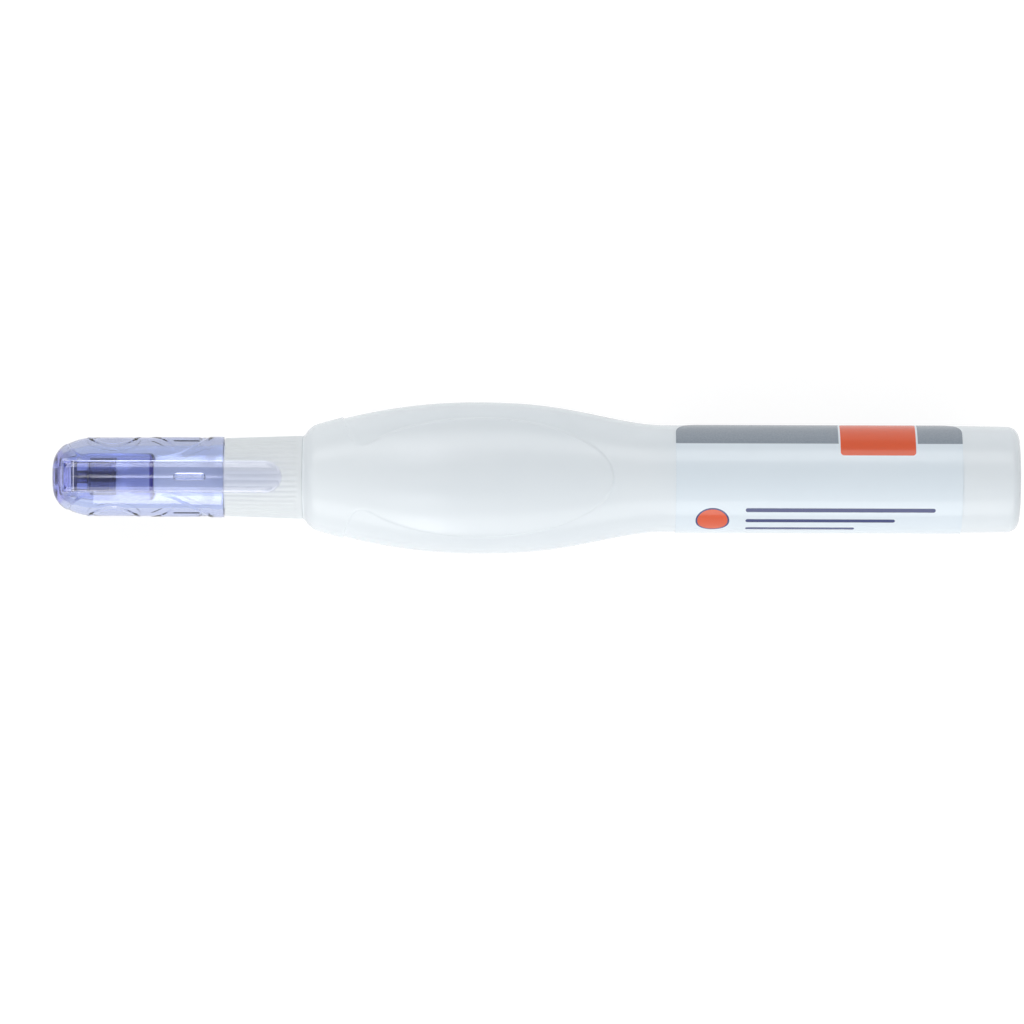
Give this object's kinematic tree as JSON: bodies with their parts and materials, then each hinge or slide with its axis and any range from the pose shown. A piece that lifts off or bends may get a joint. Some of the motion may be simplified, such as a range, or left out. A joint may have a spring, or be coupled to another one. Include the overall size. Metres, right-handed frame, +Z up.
{
  "type": "correction pen",
  "caption": "Squeeze-body correction pen with a flattened grip, a ribbed neck, a sprung needle valve in a metal tip, a clear push-on cap with a pocket clip and a loose mixing ball.",
  "frame": {"origin": "on the pen's axis, halfway between the cap's closed end and the barrel's rear face", "axes": "+X along the pen from the cap to the rear, +Y across the grip, +Z up, out of one broad face of the grip"},
  "size_m": [0.135, 0.0212, 0.018],
  "materials": {
    "barrel_plastic": "satin white polyethylene",
    "label_film": "printed film",
    "collar_plastic": "natural milky polypropylene",
    "tip_metal": "satin nickel plate on brass",
    "valve_steel": "drawn stainless steel",
    "cap_plastic": "clear violet polystyrene",
    "seal_rubber": "dark grey rubber",
    "ball_steel": "polished steel"
  },
  "bodies": {
    "pen": {"barrel": "barrel_plastic", "label": "label_film", "collar": "collar_plastic", "metal_tip": "tip_metal", "valve_spring": "valve_steel"},
    "cap": {"cap": "cap_plastic", "cap_seal": "seal_rubber"},
    "needle": {"valve_needle": "valve_steel"},
    "ball": {"mixing_ball": "ball_steel"}
  },
  "joints": [
    {"name": "cap_pull", "type": "slide", "parent": "pen", "child": "cap", "axis": [-1, 0, 0], "range_m": [0, 0.03]},
    {"name": "needle_press", "type": "slide", "parent": "pen", "child": "needle", "axis": [1, 0, 0], "range_m": [0, 0.0005], "stiffness_N_per_m": 200, "springref_m": -0.0005, "deforming": ["valve_spring"]},
    {"name": "ball_roll", "type": "slide", "parent": "pen", "child": "ball", "axis": [-1, 0, 0], "range_m": [0, 0.086]}
  ]
}
